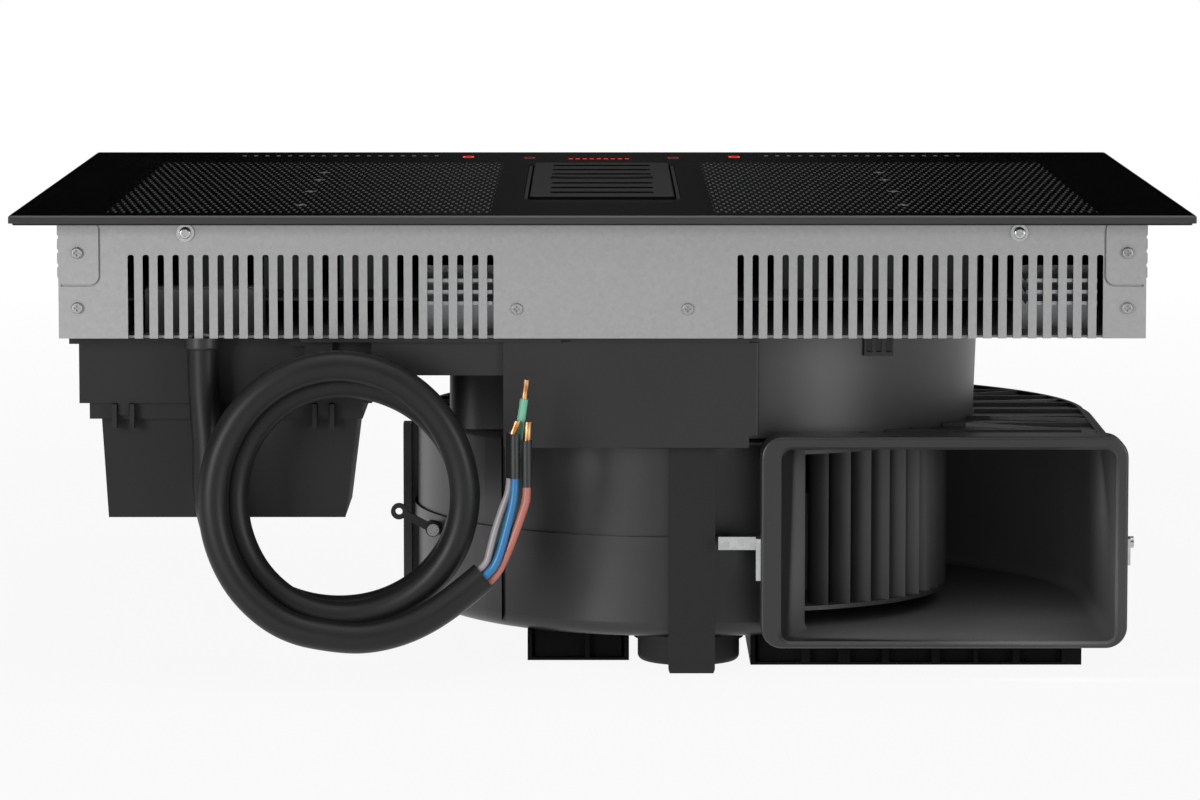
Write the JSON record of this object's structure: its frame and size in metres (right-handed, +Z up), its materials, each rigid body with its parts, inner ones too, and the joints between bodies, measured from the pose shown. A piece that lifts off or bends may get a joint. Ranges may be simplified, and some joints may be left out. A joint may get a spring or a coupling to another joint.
{
  "type": "downdraft induction cooktop",
  "caption": "Downdraft induction cooktop: flat glass with a central lift-out air grille over a shallow metal casing, with ducts, drip tray and a scroll blower with a flat outlet below.",
  "frame": {"origin": "middle of the cooktop on the plane of the worktop that the seal under the glass rests on", "axes": "+Z up, out of the glass; +Y toward the cook; -Y toward the wall, where the duct outlet and the mains lead are; +X to the right when the part is looked at from the wall side"},
  "size_m": [0.6, 0.5364, 0.2417],
  "materials": {
    "black_glass": "polished black ceramic glass",
    "seal_foam": "closed-cell foam",
    "frame_steel": "matt black coat",
    "grille_plastic": "matt black coat",
    "filter_steel": "perforated sheet",
    "galvanised_steel": "fine galvanised sheet",
    "screw_steel": "zinc-plated",
    "carrier_aluminium": "rolled sheet",
    "coil_copper": "enamelled copper strand",
    "ferrite": "sintered, dull",
    "circuit_board": "black solder mask",
    "fin_aluminium": "extruded",
    "terminal_plastic": "moulded",
    "display_plastic": "tinted window",
    "black_plastic": "moulded, fine grain",
    "wheel_plastic": "moulded",
    "motor_steel": "lacquered",
    "strap_steel": "dark coat",
    "damper_rubber": "soft rubber",
    "gland_plastic": "moulded",
    "cable_sheath": "matt sheath",
    "core_grey": "smooth insulation",
    "core_blue": "smooth insulation",
    "core_brown": "smooth insulation",
    "core_black": "smooth insulation",
    "core_green": "smooth insulation",
    "sleeve_plastic": "shrink sleeve",
    "bare_copper": "bare strand"
  },
  "bodies": {
    "root": {"glass_panel": "black_glass", "worktop_seal": "seal_foam", "intake_frame": "frame_steel", "casing_tray": "galvanised_steel", "side_panel_left": "galvanised_steel", "side_panel_right": "galvanised_steel", "casing_screws": "screw_steel", "washer_screws": "screw_steel", "casing_rivets": "screw_steel", "coil_carrier_left": "carrier_aluminium", "coil_carrier_right": "carrier_aluminium", "induction_coil_left_near": "coil_copper", "induction_coil_left_far": "coil_copper", "induction_coil_right_near": "coil_copper", "induction_coil_right_far": "coil_copper", "ferrite_bars": "ferrite", "power_board_left": "circuit_board", "power_board_right": "circuit_board", "heat_sink_left": "fin_aluminium", "heat_sink_right": "fin_aluminium", "terminal_block": "terminal_plastic", "fan_frame_left": "black_plastic", "fan_frame_right": "black_plastic", "touch_board": "circuit_board", "display_modules": "display_plastic", "duct_plate": "black_plastic", "central_duct": "black_plastic", "cross_duct": "black_plastic", "control_box": "black_plastic", "inlet_drum": "black_plastic", "drum_connector": "black_plastic", "blower_upper_shell": "black_plastic", "blower_lower_shell": "black_plastic", "seam_screws": "screw_steel", "seam_clips": "screw_steel", "blower_motor": "motor_steel", "motor_screws": "screw_steel", "hanger_strap": "strap_steel", "rubber_damper": "damper_rubber", "foot_frame_left": "black_plastic", "foot_frame_right": "black_plastic", "tray_holder": "black_plastic", "cable_gland": "gland_plastic", "mains_cable_drop": "cable_sheath", "mains_cable_coil": "cable_sheath", "mains_cable_tail": "cable_sheath", "core_grey": "core_grey", "core_blue": "core_blue", "core_brown": "core_brown", "core_black": "core_black", "core_earth": "core_green", "core_sleeves": "sleeve_plastic", "core_ferrules": "bare_copper"},
    "grille": {"intake_grille": "grille_plastic"},
    "filter": {"grease_filter": "filter_steel"},
    "wheel": {"blower_wheel": "wheel_plastic", "motor_shaft": "screw_steel"},
    "fan_left": {"fan_rotor_left": "black_plastic"},
    "fan_right": {"fan_rotor_right": "black_plastic"},
    "tray": {"drip_tray": "black_plastic"}
  },
  "joints": [
    {"name": "wheel_spin", "type": "hinge", "parent": "root", "child": "wheel", "pos_m": [0.07, -0.08, -0.164], "axis": [0, 0, 1], "continuous": true},
    {"name": "fan_left_spin", "type": "hinge", "parent": "root", "child": "fan_left", "pos_m": [-0.165, 0.11, -0.048], "axis": [0, 0, 1], "continuous": true},
    {"name": "fan_right_spin", "type": "hinge", "parent": "root", "child": "fan_right", "pos_m": [0.165, 0.11, -0.048], "axis": [0, 0, 1], "continuous": true},
    {"name": "grille_lift", "type": "slide", "parent": "root", "child": "grille", "axis": [0, 0, 1], "range_m": [0, 0.07]},
    {"name": "filter_lift", "type": "slide", "parent": "root", "child": "filter", "axis": [0, 0, 1], "range_m": [0, 0.0525]},
    {"name": "tray_slide", "type": "slide", "parent": "root", "child": "tray", "axis": [0, 0, -1], "range_m": [0, 0.055]}
  ],
  "couplings": [
    {"joint": "filter_lift", "follows": "grille_lift", "ratio": 0.75}
  ]
}
